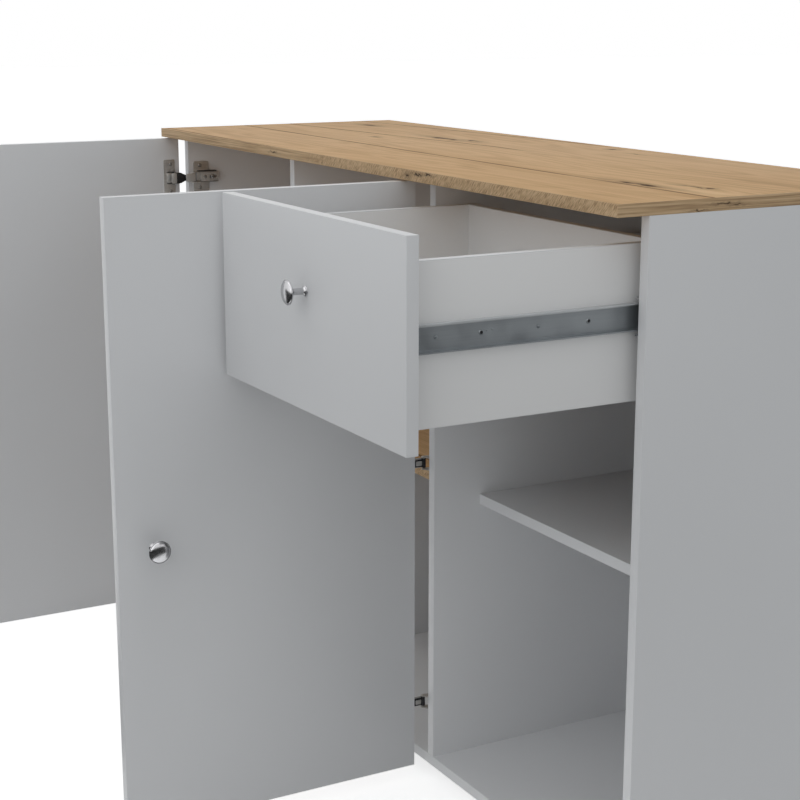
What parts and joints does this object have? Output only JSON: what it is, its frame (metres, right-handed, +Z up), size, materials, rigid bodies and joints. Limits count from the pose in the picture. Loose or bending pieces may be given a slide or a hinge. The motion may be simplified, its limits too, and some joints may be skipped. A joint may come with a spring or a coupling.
{
  "type": "kitchen island unit",
  "caption": "Kitchen island with an oak-pattern worktop on a white board carcass: hinged doors, a drawer on ball-bearing slides and an open bay with a shelf.",
  "frame": {"origin": "middle of the footprint of the unit as modelled, with both doors turned out square and the drawer drawn out 291 mm, on the floor under the feet", "axes": "+X to the right for someone facing the doors, +Y from the doors to the back, +Z up"},
  "size_m": [1.397, 0.887, 0.9],
  "materials": {
    "white_board": "particle board faced with white melamine, satin, matching edge bands",
    "oak_board": "particle board faced with a rustic light oak pattern, matt, with end-grain pattern edge bands",
    "slide_steel": "rolled zinc-plated steel sheet",
    "hinge_steel": "pressed nickel-plated steel",
    "link_steel": "dark greased steel",
    "knob_chrome": "polished chrome plating",
    "foot_plastic": "black moulded plastic"
  },
  "bodies": {
    "carcass": {"worktop": "oak_board", "side_panel_left": "white_board", "side_panel_right": "white_board", "divider_left": "white_board", "divider_right": "white_board", "bottom_panel": "white_board", "back_left": "white_board", "back_middle": "white_board", "back_right": "white_board", "shelf_left": "oak_board", "shelf_middle": "oak_board", "shelf_right": "white_board", "foot_front_left": "foot_plastic", "foot_back_left": "foot_plastic", "foot_front_divider_left": "foot_plastic", "foot_back_divider_left": "foot_plastic", "foot_front_divider_right": "foot_plastic", "foot_back_divider_right": "foot_plastic", "foot_front_right": "foot_plastic", "foot_back_right": "foot_plastic", "slide_outer_left": "slide_steel", "slide_outer_right": "slide_steel", "hinge_arm_left_top": "hinge_steel", "hinge_arm_left_middle": "hinge_steel", "hinge_arm_left_bottom": "hinge_steel", "hinge_arm_right_top": "hinge_steel", "hinge_arm_right_middle": "hinge_steel", "hinge_arm_right_bottom": "hinge_steel"},
    "drawer": {"drawer_front": "white_board", "drawer_side_left": "white_board", "drawer_side_right": "white_board", "drawer_back": "white_board", "drawer_bottom": "white_board", "drawer_knob": "knob_chrome", "drawer_knob_screw": "hinge_steel", "slide_inner_left": "slide_steel", "slide_inner_right": "slide_steel"},
    "ball_cage_left": {"slide_cage_left": "slide_steel"},
    "ball_cage_right": {"slide_cage_right": "slide_steel"},
    "left_door": {"door_left": "white_board", "door_knob_left": "knob_chrome", "door_knob_screw_left": "hinge_steel", "hinge_cup_left_top": "hinge_steel", "hinge_cup_left_middle": "hinge_steel", "hinge_cup_left_bottom": "hinge_steel"},
    "right_door": {"door_right": "white_board", "door_knob_right": "knob_chrome", "door_knob_screw_right": "hinge_steel", "hinge_cup_right_top": "hinge_steel", "hinge_cup_right_middle": "hinge_steel", "hinge_cup_right_bottom": "hinge_steel"},
    "left_hinge_links": {"hinge_link_left_top": "link_steel", "hinge_link_left_middle": "link_steel", "hinge_link_left_bottom": "link_steel"},
    "right_hinge_links": {"hinge_link_right_top": "link_steel", "hinge_link_right_middle": "link_steel", "hinge_link_right_bottom": "link_steel"}
  },
  "joints": [
    {"name": "drawer_slide", "type": "slide", "parent": "carcass", "child": "drawer", "axis": [0, -1, 0], "range_m": [-0.291, 0.009]},
    {"name": "cage_slide_left", "type": "slide", "parent": "carcass", "child": "ball_cage_left", "axis": [0, -1, 0], "range_m": [-0.1456, 0.0046]},
    {"name": "cage_slide_right", "type": "slide", "parent": "carcass", "child": "ball_cage_right", "axis": [0, -1, 0], "range_m": [-0.1456, 0.0046]},
    {"name": "left_door_hinge", "type": "hinge", "parent": "carcass", "child": "left_door", "pos_m": [-0.6725, 0.0045, 0.4575], "axis": [0, 0, 1], "range_deg": [-5, 90]},
    {"name": "right_door_hinge", "type": "hinge", "parent": "carcass", "child": "right_door", "pos_m": [0.2165, 0.0005, 0.4575], "axis": [0, 0, 1], "range_deg": [-90, 0]},
    {"name": "left_links_pivot", "type": "hinge", "parent": "carcass", "child": "left_hinge_links", "pos_m": [-0.6455, 0.027, 0.4575], "axis": [0, 0, 1], "range_deg": [-6.1, 108.1]},
    {"name": "right_links_pivot", "type": "hinge", "parent": "carcass", "child": "right_hinge_links", "pos_m": [0.191, 0.027, 0.4575], "axis": [0, 0, 1], "range_deg": [-108.1, 0.1]}
  ],
  "couplings": [
    {"joint": "cage_slide_left", "follows": "drawer_slide", "ratio": 0.5},
    {"joint": "cage_slide_right", "follows": "drawer_slide", "ratio": 0.5},
    {"joint": "left_links_pivot", "follows": "left_door_hinge", "ratio": 1.2},
    {"joint": "right_links_pivot", "follows": "right_door_hinge", "ratio": 1.2}
  ]
}
